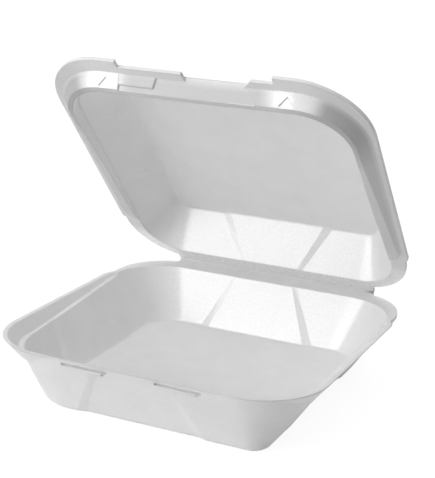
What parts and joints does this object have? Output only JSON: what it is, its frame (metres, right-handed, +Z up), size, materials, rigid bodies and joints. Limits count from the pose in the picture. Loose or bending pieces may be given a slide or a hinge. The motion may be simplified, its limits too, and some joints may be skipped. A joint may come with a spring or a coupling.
{
  "type": "foam clamshell container",
  "caption": "White foam takeaway box: a square flared tray with pleated walls and latch slots, hinged along its back edge to a shallow plug-fit lid.",
  "frame": {"origin": "middle of the tray's underside, on the surface it stands on", "axes": "+X across the container to the right, +Y back to the hinge, +Z up; the lid is modelled standing open"},
  "size_m": [0.235, 0.2375, 0.2264],
  "materials": {
    "foam": "smooth expanded polystyrene foam sheet with a faintly glossy skin"
  },
  "bodies": {
    "tray": {"tray": "foam"},
    "lid": {"lid": "foam"}
  },
  "joints": [
    {"name": "lid_hinge", "type": "hinge", "parent": "tray", "child": "lid", "pos_m": [0, 0.1254, 0.042], "axis": [-1, 0, 0], "range_deg": [-49, 131]}
  ]
}
